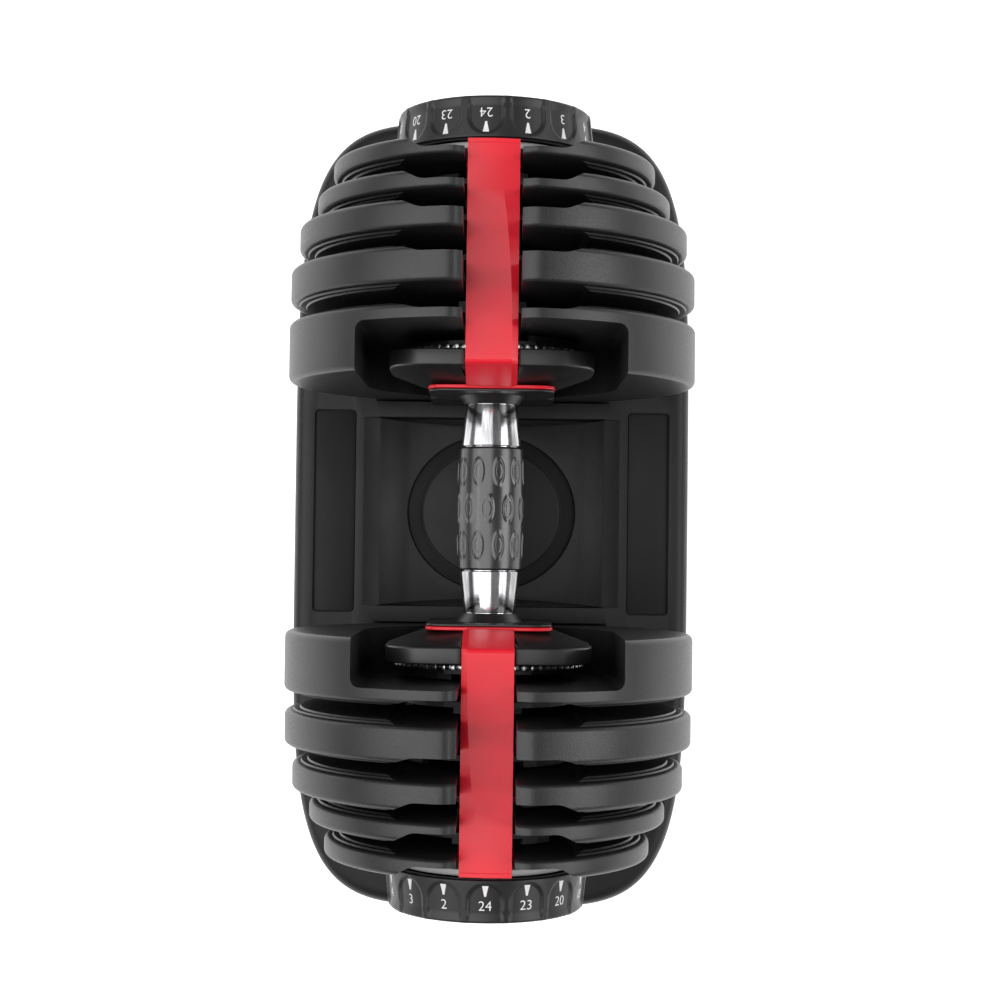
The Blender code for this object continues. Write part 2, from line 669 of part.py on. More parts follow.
def make_end(end):
    """Everything of one end, under an empty on the handle axis."""
    parent = bpy.data.objects.new(f"end_{end}", None)
    bpy.context.scene.collection.objects.link(parent)
    parent.location = (0, 0, AXIS_Z)
    if end == "near":
        parent.rotation_euler = (0, 0, math.pi)
    make_release_post(parent, end)
    make_collar(parent, end)
    make_bracket(parent, end)
    make_housing(parent, end)
    make_lock(parent, end)
    make_detent(parent, end)
    make_wheel(parent, end)
    make_hub(parent, end)
    for number in range(len(PLATES)):
        make_disc(parent, end, number)
        make_plate(parent, end, number)
    make_end_plate(parent, end)
    make_dial(parent, end)


clear_scene()
AXIS = bpy.data.objects.new("handle_axis", None)
bpy.context.scene.collection.objects.link(AXIS)
AXIS.location = (0, 0, AXIS_Z)
make_tray()
make_handle()
for END in ("far", "near"):
    make_end(END)
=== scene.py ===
"""Looks of the adjustable dumbbell: detailed meshes and materials on the CAD frame.

Both ends are alike, so each end's piece is made once for the far end (+Y), in the
frame's own place, and set again for the near end, turned half a turn about Z.
Clock angles are seen from outside an end, clockwise from the top.
"""
import bmesh
import bpy
import math
from mathutils import Matrix, Vector


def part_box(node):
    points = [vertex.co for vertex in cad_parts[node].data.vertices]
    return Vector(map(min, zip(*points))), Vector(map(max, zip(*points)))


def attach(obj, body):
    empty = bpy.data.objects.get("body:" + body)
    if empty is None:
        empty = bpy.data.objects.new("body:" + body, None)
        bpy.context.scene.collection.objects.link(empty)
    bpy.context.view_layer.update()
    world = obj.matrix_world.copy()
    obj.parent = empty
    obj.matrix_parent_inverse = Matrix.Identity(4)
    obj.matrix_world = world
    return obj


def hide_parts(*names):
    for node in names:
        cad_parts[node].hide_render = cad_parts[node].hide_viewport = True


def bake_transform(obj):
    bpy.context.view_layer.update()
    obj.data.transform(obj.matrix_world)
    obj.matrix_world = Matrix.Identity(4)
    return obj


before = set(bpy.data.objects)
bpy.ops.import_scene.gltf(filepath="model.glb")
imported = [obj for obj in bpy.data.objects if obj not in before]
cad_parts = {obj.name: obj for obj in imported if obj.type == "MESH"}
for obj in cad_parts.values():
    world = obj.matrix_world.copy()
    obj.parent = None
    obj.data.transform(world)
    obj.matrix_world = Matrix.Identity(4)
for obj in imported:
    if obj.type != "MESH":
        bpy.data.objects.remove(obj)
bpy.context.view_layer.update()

MM = 0.001
ENDS = (("far", 0.0), ("near", math.pi))
SETTINGS = (2, 3, 4, 5, 7, 8, 9, 10, 11, 14, 16, 18, 20, 23, 24)
STEP = 360.0 / len(SETTINGS)


def span(node, axis):
    """Lowest and highest coordinate of a CAD node along one axis."""
    low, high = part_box(node)
    return low[axis], high[axis]


X, Y, Z = 0, 1, 2
AXIS_Z = sum(span("dial_far", Z)) / 2
STRAP_HALF = 12.0 * MM
SLOT_HALF = 13.2 * MM
TAB_PROUD = 3.0 * MM
END_SCREW_UP = 30 * MM           # end plate's screw above the handle axis


# ---------------------------------------------------------------- materials
def new_material(name, colour, roughness, metallic=0.0):
    """A Principled material and its shader."""
    made = bpy.data.materials.new(name)
    made.use_nodes = True
    shader = made.node_tree.nodes["Principled BSDF"]
    shader.inputs["Base Color"].default_value = (*colour, 1.0)
    shader.inputs["Roughness"].default_value = roughness
    shader.inputs["Metallic"].default_value = metallic
    return made, shader


def noise_node(tree, scale, detail=2.0, stretch=(1, 1, 1)):
    """Noise in the object's own coordinates, in cycles per metre."""
    place = tree.nodes.new("ShaderNodeTexCoord")
    mapping = tree.nodes.new("ShaderNodeMapping")
    mapping.inputs["Scale"].default_value = stretch
    noise = tree.nodes.new("ShaderNodeTexNoise")
    noise.inputs["Scale"].default_value = scale
    noise.inputs["Detail"].default_value = detail
    tree.links.new(place.outputs["Object"], mapping.inputs["Vector"])
    tree.links.new(mapping.outputs["Vector"], noise.inputs["Vector"])
    return noise.outputs["Fac"]


def spread(tree, value, low, high):
    """Map a 0.3 to 0.7 noise onto a range."""
    node = tree.nodes.new("ShaderNodeMapRange")
    node.inputs["From Min"].default_value = 0.3
    node.inputs["From Max"].default_value = 0.7
    node.inputs["To Min"].default_value = low
    node.inputs["To Max"].default_value = high
    tree.links.new(value, node.inputs["Value"])
    return node.outputs["Result"]


def tint(tree, value, dark, light):
    """Blend two colours by a noise."""
    ramp = tree.nodes.new("ShaderNodeValToRGB")
    ramp.color_ramp.elements[0].position = 0.3
    ramp.color_ramp.elements[1].position = 0.7
    ramp.color_ramp.elements[0].color = (*dark, 1)
    ramp.color_ramp.elements[1].color = (*light, 1)
    tree.links.new(value, ramp.inputs["Fac"])
    return ramp.outputs["Color"]


def bump(tree, shader, *layers):
    """Add bump layers of (height, strength, distance) one over another."""
    previous = None
    for height, strength, distance in layers:
        node = tree.nodes.new("ShaderNodeBump")
        node.inputs["Strength"].default_value = strength
        node.inputs["Distance"].default_value = distance
        tree.links.new(height, node.inputs["Height"])
        if previous is not None:
            tree.links.new(previous, node.inputs["Normal"])
        previous = node.outputs["Normal"]
    tree.links.new(previous, shader.inputs["Normal"])


def moulded(name, colour, roughness, grain, depth, vary=0.12, specular=0.35):
    """Moulded or painted surface: fine grain, soft patches of colour and gloss."""
    made, shader = new_material(name, colour, roughness)
    shader.inputs["Specular IOR Level"].default_value = specular
    tree = made.node_tree
    fine = noise_node(tree, grain, 3.0)
    broad = noise_node(tree, 38.0, 3.0)
    dark = [c * (1 - vary) for c in colour]
    light = [min(1.0, c * (1 + vary)) for c in colour]
    tree.links.new(tint(tree, broad, dark, light), shader.inputs["Base Color"])
    gloss = spread(tree, broad, roughness - 0.04, roughness + 0.05)
    tree.links.new(gloss, shader.inputs["Roughness"])
    bump(tree, shader, (fine, 0.5, depth))
    return made


def plate_skin():
    """Satin black skin, finely pitted, with faint streaks along the rim's width."""
    made, shader = new_material("plate skin", (0.010, 0.010, 0.011), 0.38)
    shader.inputs["Specular IOR Level"].default_value = 0.46
    tree = made.node_tree
    streaks = noise_node(tree, 900.0, 3.0, (1.0, 0.10, 1.0))
    grain = noise_node(tree, 1500.0, 3.0)
    broad = noise_node(tree, 30.0, 3.0)
    colour = tint(tree, broad, (0.008, 0.008, 0.009), (0.013, 0.013, 0.014))
    tree.links.new(colour, shader.inputs["Base Color"])
    tree.links.new(spread(tree, grain, 0.30, 0.46), shader.inputs["Roughness"])
    bump(tree, shader, (streaks, 0.25, 0.00012), (grain, 0.45, 0.00016))
    return made


def chrome():
    """Polished chrome whose colour carries painted reflections: soft light and grey bands along the tube.
    """
    made, shader = new_material("chrome", (0.80, 0.80, 0.81), 0.12, 1.0)
    tree = made.node_tree
    streaks = noise_node(tree, 330.0, 2.0, (1.0, 0.03, 1.0))
    # painted reflection: light and grey bands in the colour along the tube, standing in for the lamps
    # mirrored in the chrome
    tree.links.new(tint(tree, streaks, (0.22, 0.22, 0.23), (0.72, 0.72, 0.73)), shader.inputs["Base Color"])
    lines = noise_node(tree, 700.0, 2.0, (0.04, 1.0, 0.04))
    tree.links.new(spread(tree, lines, 0.10, 0.18), shader.inputs["Roughness"])
    bump(tree, shader, (noise_node(tree, 120.0, 2.0), 0.10, 0.00005))
    return made


def plated_steel(name, colour, roughness):
    """Zinc-plated steel with a fine grain and duller patches."""
    made, shader = new_material(name, colour, roughness, 1.0)
    tree = made.node_tree
    patches = noise_node(tree, 160.0, 4.0)
    tree.links.new(tint(tree, patches, [c * 0.75 for c in colour], colour), shader.inputs["Base Color"])
    tree.links.new(spread(tree, patches, roughness - 0.06, roughness + 0.12), shader.inputs["Roughness"])
    bump(tree, shader, (noise_node(tree, 1800.0, 2.0), 0.3, 0.00004))
    return made


FINISH = {
    "plate": plate_skin(),
    "tray": moulded("tray plastic", (0.0075, 0.0075, 0.0079), 0.46, 1700.0, 0.00020, specular=0.29),
    "panel": moulded("inlay", (0.0060, 0.0060, 0.0064), 0.60, 2600.0, 0.00004, specular=0.28),
    "badge": moulded("badge disc", (0.0050, 0.0050, 0.0053), 0.50, 2200.0, 0.00004, specular=0.26),
    "ring": moulded("badge ring", (0.0020, 0.0020, 0.0021), 0.55, 2200.0, 0.00004, specular=0.18),
    "black": moulded("satin black", (0.0075, 0.0075, 0.0080), 0.36, 1500.0, 0.00006, specular=0.60),
    "disc": moulded("black nylon", (0.009, 0.009, 0.010), 0.40, 1500.0, 0.00006),
    "dial": moulded("dial plastic", (0.012, 0.012, 0.013), 0.36, 1900.0, 0.00010, specular=0.40),
    "grey": moulded("grey plastic", (0.42, 0.42, 0.43), 0.45, 1500.0, 0.00006, 0.05),
    "rubber": moulded("grip rubber", (0.010, 0.010, 0.011), 0.24, 2400.0, 0.00005, specular=0.85),
    "foot": moulded("foot rubber", (0.014, 0.014, 0.014), 0.65, 1200.0, 0.00012),
    "red": moulded("red paint", (0.72, 0.012, 0.027), 0.34, 1300.0, 0.00005, 0.05, specular=0.42),
    "ink": moulded("printed white", (0.74, 0.74, 0.74), 0.45, 1500.0, 0.00003, 0.04),
    "chrome": chrome(),
    "steel": plated_steel("zinc steel", (0.62, 0.62, 0.63), 0.24),
    "dark steel": plated_steel("dark steel", (0.20, 0.20, 0.21), 0.30),
}


# ------------------------------------------------------------ mesh helpers
def to_mesh(shape, name="mesh"):
    """Turn a bmesh into a mesh with its faces pointing out."""
    bmesh.ops.recalc_face_normals(shape, faces=shape.faces)
    mesh = bpy.data.meshes.new(name)
    shape.to_mesh(mesh)
    shape.free()
    return mesh


def rounded(points, radii, steps=4, closed=False):
    """Replace the corners of a line of points by arcs of the given radii."""
    made = []
    count = len(points)
    for i, point in enumerate(points):
        radius = radii[i]
        here = Vector(point)
        if radius == 0 or (not closed and i in (0, count - 1)):
            made.append(tuple(here))
            continue
        back = (Vector(points[i - 1]) - here).normalized()
        ahead = (Vector(points[(i + 1) % count]) - here).normalized()
        half = back.angle(ahead) / 2
        reach = radius / math.tan(half)
        centre = here + (back + ahead).normalized() * radius / math.sin(half)
        start = here + back * reach - centre
        stop = here + ahead * reach - centre
        turn = start.angle_signed(stop)
        for j in range(steps + 1):
            made.append(tuple(centre + Matrix.Rotation(-turn * j / steps, 2) @ start))
    return made


def turned(profile, columns, loop=False, centre=(0, 0)):
    """Turn (y, r) points about a Y axis; columns is a count or a list of angles."""
    if isinstance(columns, int):
        columns = [2 * math.pi * i / columns for i in range(columns)]
    shape = bmesh.new()
    rings = []
    for y, r in profile:
        if r == 0:
            rings.append([shape.verts.new((centre[0], y, centre[1]))] * len(columns))
            continue
        rings.append([
            shape.verts.new((centre[0] + r * math.sin(a), y, centre[1] + r * math.cos(a))) for a in columns
        ])
    skin(shape, rings, loop)
    return to_mesh(shape, "turned")


def skin(shape, rings, loop=False):
    """Join closed rings of vertices into faces."""
    pairs = list(zip(rings, rings[1:]))
    if loop:
        pairs.append((rings[-1], rings[0]))
    for first, second in pairs:
        for i in range(len(first)):
            j = (i + 1) % len(first)
            corners = dict.fromkeys((first[i], first[j], second[j], second[i]))
            if len(corners) > 2:
                shape.faces.new(corners)


def loft(rings):
    """Solid through closed rings of (x, y, z) points, capped at both ends."""
    shape = bmesh.new()
    made = [[shape.verts.new(p) for p in ring] for ring in rings]
    skin(shape, made)
    shape.faces.new(made[0])
    shape.faces.new(made[-1])
    return to_mesh(shape, "loft")


def prism(outline, start, end, axis="Y"):
    """Extrude an outline of (x, z) points along Y, or of (x, y) along Z."""
    if axis == "Y":
        return loft([[(u, w, v) for u, v in outline] for w in (start, end)])
    return loft([[(u, v, w) for u, v in outline] for w in (start, end)])


def block(x, y, z):
    """A box from pairs of limits."""
    return prism([(x[0], z[0]), (x[1], z[0]), (x[1], z[1]), (x[0], z[1])], y[0], y[1])


def arc(radius, start, end, count):
    """Points (x, z) on a clock-angle arc in degrees, ends included."""
    points = []
    for i in range(count):
        angle = math.radians(start + (end - start) * i / (count - 1))
        points.append((-radius * math.sin(angle), radius * math.cos(angle)))
    return points


def circle(radius, sides, centre=(0, 0)):
    """Points of a closed circle."""
    angles = [2 * math.pi * i / sides for i in range(sides)]
    return [(centre[0] + radius * math.sin(a), centre[1] + radius * math.cos(a)) for a in angles]


def u_outline(half_width, top):
    """A slot open at the top, with a round end about the axis."""
    return [(half_width, top)] + arc(half_width, 270, 90, 49) + [(-half_width, top)]


def joined(*meshes):
    """Several closed shells in one mesh."""
    shape = bmesh.new()
    for mesh in meshes:
        shape.from_mesh(mesh)
    made = bpy.data.meshes.new("joined")
    shape.to_mesh(made)
    shape.free()
    return made


def combine(mesh, others, operation="DIFFERENCE"):
    """Boolean a mesh with others, one after another."""
    for other in others:
        base = bpy.data.objects.new("base", mesh)
        tool = bpy.data.objects.new("tool", other)
        for thing in (base, tool):
            bpy.context.scene.collection.objects.link(thing)
        modifier = base.modifiers.new("boolean", "BOOLEAN")
        modifier.operation = operation
        modifier.solver = "EXACT"
        modifier.object = tool
        mesh = evaluated(base)
        bpy.data.objects.remove(base, do_unlink=True)
        bpy.data.objects.remove(tool, do_unlink=True)
    return mesh


def evaluated(thing):
    """Mesh of an object with its modifiers applied."""
    graph = bpy.context.evaluated_depsgraph_get()
    return bpy.data.meshes.new_from_object(thing.evaluated_get(graph))


def bevelled(mesh, width, segments=3, angle=30.0, chosen=None):
    """Round the sharp edges, or only those that chosen(a, b) picks, by weight."""
    thing = bpy.data.objects.new("base", mesh)
    bpy.context.scene.collection.objects.link(thing)
    modifier = thing.modifiers.new("bevel", "BEVEL")
    modifier.width = width
    modifier.segments = segments
    modifier.use_clamp_overlap = True
    modifier.limit_method = "ANGLE"
    modifier.angle_limit = math.radians(angle)
    if chosen is not None:
        modifier.limit_method = "WEIGHT"
        weights = mesh.attributes.new("bevel_weight_edge", "FLOAT", "EDGE")
        for edge in mesh.edges:
            a, b = (mesh.vertices[i].co for i in edge.vertices)
            weights.data[edge.index].value = chosen(a, b)
    made = evaluated(thing)
    bpy.data.objects.remove(thing, do_unlink=True)
    return made


def show(name, mesh, finish, body, nodes=(), turn=0.0, sharp=32.0):
    """Put one visible piece in the scene and tie it to the frame."""
    mesh.materials.clear()
    mesh.materials.append(FINISH[finish])
    mesh.shade_smooth()
    mesh.set_sharp_from_angle(angle=math.radians(sharp))
    piece = bpy.data.objects.new(name, mesh)
    bpy.context.scene.collection.objects.link(piece)
    piece.rotation_euler = (0, 0, turn)
    if body:
        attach(piece, body)
    if nodes:
        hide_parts(*nodes)
    return piece


def lifted(mesh, height=None):
    """Move a mesh made about the handle axis up to its place."""
    mesh.transform(Matrix.Translation((0, 0, AXIS_Z if height is None else height)))
    return mesh


def both_ends(name, mesh, finish, body, node=None, sharp=32.0):
    """The same piece at the far end and, turned, at the near end."""
    for end, turn in ENDS:
        nodes = [f"{node}_{end}"] if node else []
        show(f"{name}_{end}", mesh, finish, body.format(end=end), nodes, turn, sharp)


# ------------------------------------------------------------------ plates
PLATE_EDGE = 2.6 * MM            # rounding of a plate's rim
LEDGE = 0.8 * MM                 # each raised ledge on a plate's face
CHANNEL_WIDE = 45.0 * MM         # half-width of a channel at the plate's face
CHANNEL_NARROW = 31.0 * MM       # and at its floor
CHANNEL_DEPTHS = (2.2, 2.7, 3.9, 4.7, 5.2)
POCKET_HALF = 61.0 * MM
POCKET_FLOOR = 81.4 * MM
POCKET_ROUND = 4.0 * MM


def plate_columns(radius, cuts):
    """Even angles that keep clear of the straight cuts, closer together by the slot."""
    close = [math.asin((SLOT_HALF + step * MM) / radius) for step in (1.7, 3.1, 4.8, 6.8, 9.2)]
    marks = close + [math.asin(x / radius) for x in cuts]
    every = [math.radians(2.5) * i - math.pi for i in range(144)]
    clear = [a for a in every if all(abs(abs(a) - m) > math.radians(1.6) for m in marks)]
    return sorted(clear + close + [-a for a in close])


def plate_profile(number, inner, outer, radius):
    """Half section of a plate from its inner face to its outer face."""
    ledge_r = radius - 4.4 * MM
    second_r = radius - 7.6 * MM
    back = [(outer, radius), (outer, ledge_r), (outer + LEDGE, ledge_r - 0.6 * MM), (outer + LEDGE, 0)]
    back_round = [PLATE_EDGE, 0, 0, 0]
    if number == 1:
        front = [(inner, 0), (inner, radius)]
        front_round = [0, 3.2 * MM]
    else:
        front = [
            (inner - 2 * LEDGE, 0), (inner - 2 * LEDGE, second_r), (inner - LEDGE, second_r + 0.5 * MM),
            (inner - LEDGE, ledge_r), (inner, ledge_r + 0.5 * MM), (inner, radius),
        ]
        front_round = [0, 0, 0, 0, 0, PLATE_EDGE]
    return rounded(front + back, front_round + back_round, 6)


def turn_down(mesh, radius):
    """Round the rim down towards the slot."""
    reach, drop, deep = 10 * MM, 4.2 * MM, 18 * MM
    for vertex in mesh.vertices:
        x, _, z = vertex.co
        if z > 0 and abs(x) < SLOT_HALF + reach:
            near = min(1.0, 1 - (abs(x) - SLOT_HALF) / reach)
            top = math.sqrt(radius ** 2 - x ** 2)
            weight = max(0.0, (z - top + deep) / deep)
            vertex.co.z -= drop * near ** 2.4 * weight


def channel(face, floor, wide, narrow, top):
    """U cutter whose walls sweep down from the face to a narrower floor."""
    steps = 7
    rings = [[(u, 2 * face - floor, v) for u, v in u_outline(wide, top)]]
    for i in range(steps + 1):
        t = i / steps
        y = face + (floor - face) * smooth(t)
        rings.append([(u, y, v) for u, v in u_outline(wide + (narrow - wide) * t, top)])
    return loft(rings)


def pocket_cutter(inner, top):
    """Pocket of the first plate, with a rounded corner at its floor."""
    rings = [[(u, inner - 5 * MM, v) for u, v in u_outline(POCKET_HALF, top)]]
    steps = 6
    for i in range(steps + 1):
        angle = math.pi / 2 * i / steps
        half = POCKET_HALF - POCKET_ROUND * (1 - math.cos(angle))
        y = POCKET_FLOOR - POCKET_ROUND * (1 - math.sin(angle))
        rings.append([(u, y, v) for u, v in u_outline(half, top)])
    return loft(rings)


def make_plate(number):
    """One plate for both ends, from the size of its CAD node."""
    node = f"plate_{number}_far"
    radius = span(node, X)[1]
    inner, outer = span(node, Y)
    if number > 1:
        inner += TAB_PROUD
    top = radius + 10 * MM
    cuts = [SLOT_HALF] + ([POCKET_HALF] if number == 1 else [])
    body = turned(plate_profile(number, inner, outer, radius), plate_columns(radius, cuts))
    turn_down(body, radius)
    floor = outer - CHANNEL_DEPTHS[number - 1] * MM
    cutters = [
        channel(outer + LEDGE, floor, CHANNEL_WIDE, CHANNEL_NARROW, top),
        prism(u_outline(SLOT_HALF, top), inner - 5 * MM, outer + 5 * MM),
    ]
    tab_face = inner
    if number == 1:
        tab_face = POCKET_FLOOR
        cutters.append(pocket_cutter(inner, top))
        cutters.append(block((-9 * MM, 9 * MM), (inner - 5 * MM, 70 * MM), (-top, -POCKET_HALF + 2 * MM)))
    else:
        cutters.append(channel(inner - 2 * LEDGE, inner + 0.2 * MM, CHANNEL_WIDE, 39 * MM, top))
    mesh = combine(body, cutters)

    def edge_weight(a, b):
        slot = all(abs(abs(v.x) - SLOT_HALF) < 1e-5 and v.z > 0 for v in (a, b))
        pocket = number == 1 and all(abs(abs(v.x) - POCKET_HALF) < 1e-5 and v.z > 0 for v in (a, b))
        front = number == 1 and all(
            abs(v.y - inner) < 1e-5 and math.hypot(v.x, v.z) < radius - 5 * MM for v in (a, b)
        )
        return 1.0 if pocket or front else 0.7 * slot

    mesh = bevelled(mesh, 2.2 * MM, 4, chosen=edge_weight)
    tab = block((-6.5 * MM, 6.5 * MM), (tab_face - TAB_PROUD, tab_face + MM), (-36 * MM, -30 * MM))
    mesh = joined(mesh, bevelled(tab, 0.5 * MM, 2))
    for end, turn in ENDS:
        name = f"plate_{number}_{end}"
        show(f"skin_{name}", lifted(mesh.copy()), "plate", name, [name], turn, 28.0)


# -------------------------------------------------------------- the handle
def make_grip():
    """Barrel grip with three staggered rows of raised ovals."""
    end = span("handle_grip", Y)[1]
    r_mid = span("handle_grip", X)[1]
    r_end = r_mid - 1.2 * MM
    bore = 13.6 * MM
    around, along = 300, 150
    rows = ((-17.7 * MM, 0.5), (0.0, 0.0), (17.7 * MM, 0.5))
    per_row = 10
    half_long, half_wide = 9.3 * MM, 3.75 * MM
    lean = math.radians(3.3)
    shape = bmesh.new()
    rings = []
    edge = 1.3 * MM
    for i in range(along + 1):
        t = 2 * i / along - 1
        y = end * t
        base = r_end + (r_mid - 0.45 * MM - r_end) * (1 - t * t)
        inset = max(0.0, abs(y) - (end - edge)) / edge
        base -= edge * 0.7 * (1 - math.sqrt(max(0.0, 1 - inset * inset)))
        ring = []
        for j in range(around):
            angle = 2 * math.pi * j / around
            high = 0.0
            for centre, shift in rows:
                if abs(y - centre) > half_long * 1.25:
                    continue
                pitch = 2 * math.pi / per_row
                local = (angle + lean) / pitch + shift
                local = (local - round(local)) * pitch * base
                d = math.hypot((y - centre) / half_long, local / half_wide)
                high = max(high, oval_height(d))
            r = base + high
            ring.append(shape.verts.new((r * math.sin(angle), y, r * math.cos(angle))))
        rings.append(ring)
    for y in (end, -end):
        angles = [2 * math.pi * j / around for j in range(around)]
        rings.append([shape.verts.new((bore * math.sin(a), y, bore * math.cos(a))) for a in angles])
    skin(shape, rings, loop=True)
    show("grip", lifted(to_mesh(shape)), "rubber", "handle", ["handle_grip"], sharp=60)


def smooth(t):
    """Ease from 0 to 1."""
    t = min(1.0, max(0.0, t))
    return t * t * (3 - 2 * t)


def oval_height(d):
    """Section through one oval: a groove round a domed pad with a smaller oval in it."""
    groove = -0.38 * MM * (smooth((d - 0.82) / 0.08) - smooth((d - 0.93) / 0.12))
    pad = 0.44 * MM * (1 - smooth((d - 0.55) / 0.30))
    ripple = -0.16 * MM * (smooth((d - 0.34) / 0.08) - smooth((d - 0.46) / 0.08))
    return groove + pad + ripple


def make_tube():
    """Chrome cones beside the grip, and the bar through the middle."""
    grip_end = span("handle_grip", Y)[1] + 0.3 * MM
    cone_end = span("collar_far", Y)[0] - 0.3 * MM
    r_in, r_out = 14.6 * MM, 12.45 * MM
    half = rounded(
        [(grip_end, 13.3 * MM), (grip_end, r_in), (cone_end, r_out), (cone_end, r_out - 0.5 * MM),
         (span("handle_tube", Y)[1], r_out - 0.5 * MM), (span("handle_tube", Y)[1], 7.3 * MM)],
        [0, 0.7 * MM, 0.3 * MM, 0, 0, 0], 5,
    )
    outline = [(-y, r) for y, r in reversed(half)] + half
    mesh = lifted(turned(outline, 160, loop=True))
    show("chrome_tube", mesh, "chrome", "handle", ["handle_tube"])


def make_collar():
    """Black cone on a thin disc."""
    start, stop = span("collar_far", Y)
    disc_r = span("collar_far", X)[1]
    bore = 12.25 * MM
    front = 54.9 * MM
    section = rounded(
        [(start, bore), (start, 13.0 * MM), (front, 15.9 * MM),
         (front, disc_r), (stop, disc_r), (stop, bore)],
        [0, 0.5 * MM, 0.5 * MM, 0.5 * MM, 0.2 * MM, 0], 5, closed=True,
    )
    mesh = turned(section, 128, loop=True)
    flatten_top(mesh, disc_r, disc_r + 0.5 * MM, 16 * MM, 9)
    both_ends("collar_skin", lifted(mesh), "black", "handle", "collar")


def make_bracket():
    """Red strap with its crease, sloping leg, flange disc and outer leg."""
    end = span("bracket_far", Y)[1]
    top_z = 62.0 * MM
    low_z = 53.0 * MM
    lip = end - 2.0 * MM
    tops = [(end, top_z - 1.0 * MM), (lip, top_z - 0.9 * MM), (lip - 0.3 * MM, top_z)]
    straight = 67.5 * MM
    tops += [(lip + (straight - lip) * i / 14, top_z) for i in range(1, 14)]
    bottoms = [(y, low_z) for y, _ in tops]
    foot_top, foot_low = (56.7 * MM, 31 * MM), (58.0 * MM, 31 * MM)
    bend = rounded([(straight, top_z), (65.1 * MM, top_z), foot_top], [0, 3.0 * MM, 0], 5)
    under = rounded([(straight, low_z), (65.6 * MM, low_z), foot_low], [0, 1.0 * MM, 0], 5)
    tops += bend
    bottoms += under
    rings = []
    for top, bottom in zip(tops, bottoms):
        along = min(1.0, max(0.0, (top[0] - straight) / (end - straight)))
        crease = 9.2 * MM * (1 - along ** 2.5)
        away = (Vector(top) - Vector(bottom)).normalized()
        left, right = Vector(top) - away * 0.35 * MM, Vector(top) - away * 1.6 * MM
        rings.append([
            (-STRAP_HALF, *bottom), (-STRAP_HALF, *left), (crease, *top), (STRAP_HALF, *right),
            (STRAP_HALF, *bottom),
        ])
    strap = bevelled(loft(rings), 0.5 * MM, 3, 50.0)

    disc_r = span("bracket_far", X)[1]
    y0, y1 = span("bracket_far", Y)[0], 58.0 * MM
    bore = 7.3 * MM
    section = [(y0, bore), (y0, disc_r), (y1, disc_r), (y1, bore)]
    disc = turned(rounded(section, [0, 0.6 * MM, 0.4 * MM, 0], 4), 128, loop=True)
    flatten_top(disc, disc_r, disc_r, 14 * MM, 8)
    ring_r, leg_half = 19 * MM, 11.8 * MM
    turn = math.degrees(math.asin(leg_half / ring_r))
    keyhole = arc(ring_r, turn, 360 - turn, 40) + [(leg_half, 57 * MM), (-leg_half, 57 * MM)]
    leg = prism(keyhole, 164.5 * MM, 166.9 * MM)
    hole = turned([(160 * MM, 0), (160 * MM, 11.6 * MM), (170 * MM, 11.6 * MM), (170 * MM, 0)], 64)
    mesh = joined(strap, disc, bevelled(combine(leg, [hole]), 0.3 * MM, 2))
    both_ends("bracket_skin", lifted(mesh), "red", "handle", "bracket", sharp=12.5)


def flatten_top(mesh, radius, half_width, kept, power=5):
    """Press a turned disc into one with a flat top and upright sides, outside a kept radius."""
    for vertex in mesh.vertices:
        x, _, z = vertex.co
        r = math.hypot(x, z)
        if r <= kept:
            continue
        side, up = abs(x) / r / half_width, abs(z) / r / (radius if z > 0 else half_width)
        bent = power if z > 0 else 2
        reach = (side ** bent + up ** bent) ** (-1 / bent)
        grown = 1 + (reach / radius - 1) * (r - kept) / (radius - kept)
        vertex.co.x *= grown
        vertex.co.z *= grown


def make_housing():
    """Domed cover with a rounded shoulder, notched for the strap and the lock's foot."""
    start, stop = span("index_housing_far", Y)
    rim = span("index_housing_far", X)[1]
    shoulder = 64.9 * MM
    wall = 2.5 * MM
    section = rounded(
        [(start, 11.6 * MM), (start, 31 * MM), (shoulder, rim), (stop, rim), (stop, rim - wall),
         (shoulder + 1.2 * MM, rim - wall), (start + wall, 31 * MM), (start + wall, 11.6 * MM)],
        [0, 1.2 * MM, 1.3 * MM, 0.8 * MM, 0.5 * MM, 0, 0, 0], 5, closed=True,
    )
    cup = turned(section, 160, loop=True)
    flatten_top(cup, rim, 49 * MM, 31 * MM)
    half = STRAP_HALF + 0.5 * MM
    strap_gap = block((-half, half), (start - 5 * MM, stop + 5 * MM), (38.5 * MM, 60 * MM))
    gate = block((-7.5 * MM, 7.5 * MM), (66.6 * MM, stop + 2 * MM), (-60 * MM, -44 * MM))
    mesh = bevelled(combine(cup, [strap_gap, gate]), 0.45 * MM, 2, 40.0)
    both_ends("housing_skin", lifted(mesh), "black", "handle", "index_housing")


def make_wheel():
    """Toothed steel wheel with a ring of detent holes."""
    start, stop = span("index_wheel_far", Y)
    teeth, root_half, tip_half = 60, 1.4, 1.8
    pitch = 360 / teeth
    outline = []
    for i in range(teeth):
        centre = i * pitch
        outline += arc(41.8 * MM, centre - root_half, centre + root_half, 3)
        outline += arc(46.0 * MM, centre + tip_half, centre + pitch - tip_half, 3)
    wheel = prism(outline, start, stop)
    past = (start - MM, stop + MM)
    cutters = [prism(circle(11.3 * MM, 64), *past)]
    for i in range(len(SETTINGS)):
        centre = arc(38.5 * MM, i * STEP, i * STEP + 1, 2)[0]
        cutters.append(prism(circle(1.6 * MM, 20, centre), *past))
    mesh = bevelled(combine(wheel, cutters), 0.3 * MM, 2, 40.0)
    both_ends("wheel_skin", lifted(mesh), "steel", "selector_{end}", "index_wheel")


